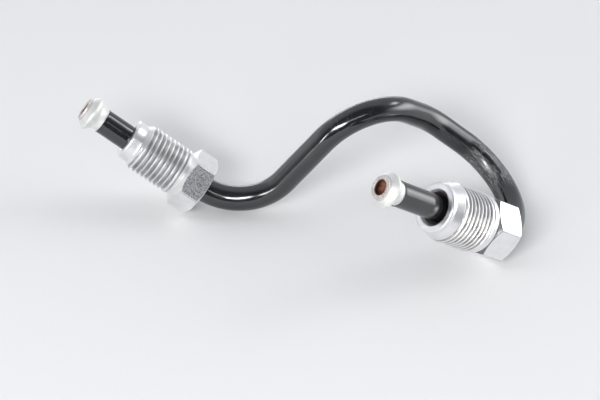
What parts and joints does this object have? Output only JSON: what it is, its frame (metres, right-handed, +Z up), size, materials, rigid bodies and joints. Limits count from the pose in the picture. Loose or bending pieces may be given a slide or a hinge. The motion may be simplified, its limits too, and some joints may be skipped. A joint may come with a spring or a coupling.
{
  "type": "brake line",
  "caption": "Short rigid brake pipe in coated steel, bent in space, with a flared tip and a sliding threaded union nut on each end.",
  "frame": {"origin": "centre of the bounding box at the floor that the pipe lies on", "axes": "+Z up from the floor, +X towards the wide return bend along the longest extent, +Y away from the viewer of the reference view"},
  "size_m": [0.089, 0.0408, 0.026],
  "materials": {
    "bare_steel": "bare plated steel at the flares",
    "black_coating": "glossy black plastic coat with fine scuffs",
    "zinc_plate": "bright zinc plated, turned"
  },
  "bodies": {
    "pipe": {"steel_pipe": "bare_steel", "polyamide_coating": "black_coating"},
    "m10_nut": {"union_nut_m10": "zinc_plate"},
    "m12_nut": {"union_nut_m12": "zinc_plate"}
  },
  "joints": [
    {"name": "m10_nut_slide", "type": "slide", "parent": "pipe", "child": "m10_nut", "axis": [-0.8202, 0.1131, 0.5608], "range_m": [0, 0.0076]},
    {"name": "m12_nut_slide", "type": "slide", "parent": "pipe", "child": "m12_nut", "axis": [-0.7214, -0.3936, 0.5698], "range_m": [0, 0.0128]}
  ]
}
